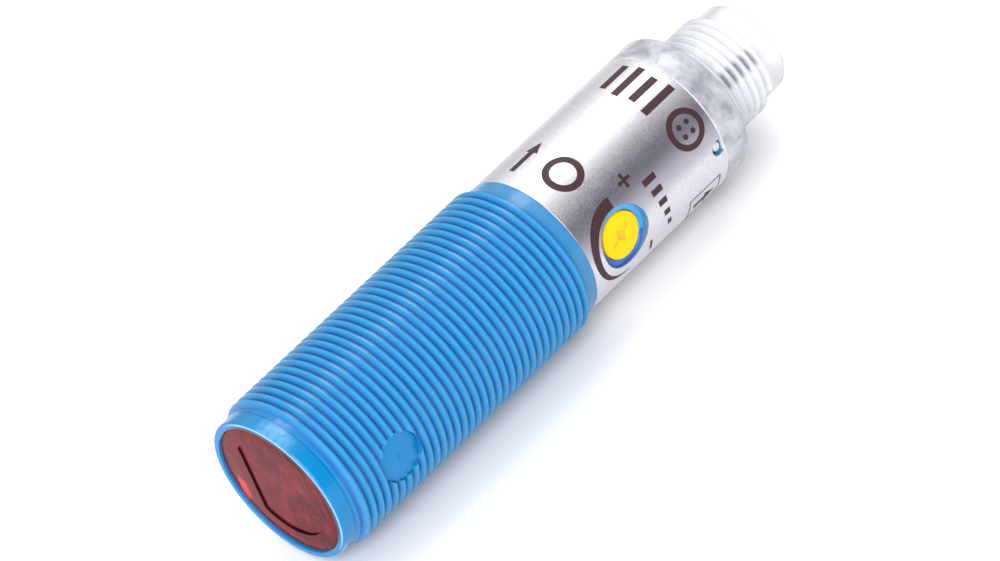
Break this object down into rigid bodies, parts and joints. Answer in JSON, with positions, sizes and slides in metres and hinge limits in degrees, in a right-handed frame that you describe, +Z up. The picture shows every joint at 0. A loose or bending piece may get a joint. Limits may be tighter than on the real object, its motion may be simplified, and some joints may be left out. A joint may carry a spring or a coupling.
{
  "type": "photoelectric sensor",
  "caption": "Cylindrical photoelectric sensor: threaded blue barrel, red optical window, silver sleeve with a yellow adjuster, and a clear threaded plug with pins.",
  "frame": {"origin": "centre of the plane of the window's front face, on the barrel's axis", "axes": "+X along the barrel from the window to the plug, +Z up, the adjuster looks along -Y"},
  "size_m": [0.0704, 0.0176, 0.0176],
  "materials": {
    "blue_plastic": "satin moulded housing",
    "silver_label": "satin foil with dark print",
    "red_window": "clear red, polished",
    "clear_cap": "translucent, lightly frosted",
    "yellow_plastic": "moulded",
    "rubber": "matt",
    "black_plastic": "matt optical black",
    "optical_plastic": "polished lens",
    "clear_epoxy": "cast lens",
    "circuit_board": "solder resist on glass laminate",
    "tinned_steel": "tinned sheet",
    "chip_package": "moulded",
    "ceramic": "fired",
    "tantalum_case": "moulded",
    "green_lamp": "clear",
    "amber_lamp": "clear",
    "blue_base": "moulded",
    "white_plastic": "moulded",
    "black_insert": "moulded",
    "gold_contact": "gold plated",
    "brown_wire": "wire sleeve",
    "white_wire": "wire sleeve",
    "blue_wire": "wire sleeve",
    "black_wire": "wire sleeve"
  },
  "bodies": {
    "housing": {"barrel_housing": "blue_plastic", "wrap_label": "silver_label", "front_window": "red_window", "window_seal": "rubber", "optics_carrier": "black_plastic", "receiver_lens": "optical_plastic", "emitter_lens": "optical_plastic", "emitter_led": "clear_epoxy", "receiver_photodiode": "chip_package", "sensor_board": "circuit_board", "main_board": "circuit_board", "board_header": "black_insert", "shield_can": "tinned_steel", "signal_chip": "chip_package", "control_chip": "chip_package", "voltage_regulator": "chip_package", "surge_diode": "chip_package", "output_transistor_1": "chip_package", "output_transistor_2": "chip_package", "tantalum_capacitor": "tantalum_case", "capacitor_1": "ceramic", "capacitor_2": "ceramic", "resistor_1": "chip_package", "resistor_2": "chip_package", "resistor_3": "chip_package", "power_led": "green_lamp", "output_led": "amber_lamp", "trimmer_base": "blue_base", "adjuster_seal": "rubber", "plug_body": "clear_cap", "plug_seal": "rubber", "contact_carrier": "black_insert", "contact_pin_1": "gold_contact", "contact_pin_2": "gold_contact", "contact_pin_3": "gold_contact", "contact_pin_4": "gold_contact", "pin_lead_1": "brown_wire", "pin_lead_2": "white_wire", "pin_lead_3": "blue_wire", "pin_lead_4": "black_wire"},
    "adjuster": {"adjuster_knob": "yellow_plastic", "trimmer_rotor": "white_plastic"}
  },
  "joints": [
    {"name": "sensitivity_turn", "type": "hinge", "parent": "housing", "child": "adjuster", "pos_m": [0.04185, -0.006, 0], "axis": [0, -1, 0], "range_deg": [-135, 135]}
  ]
}
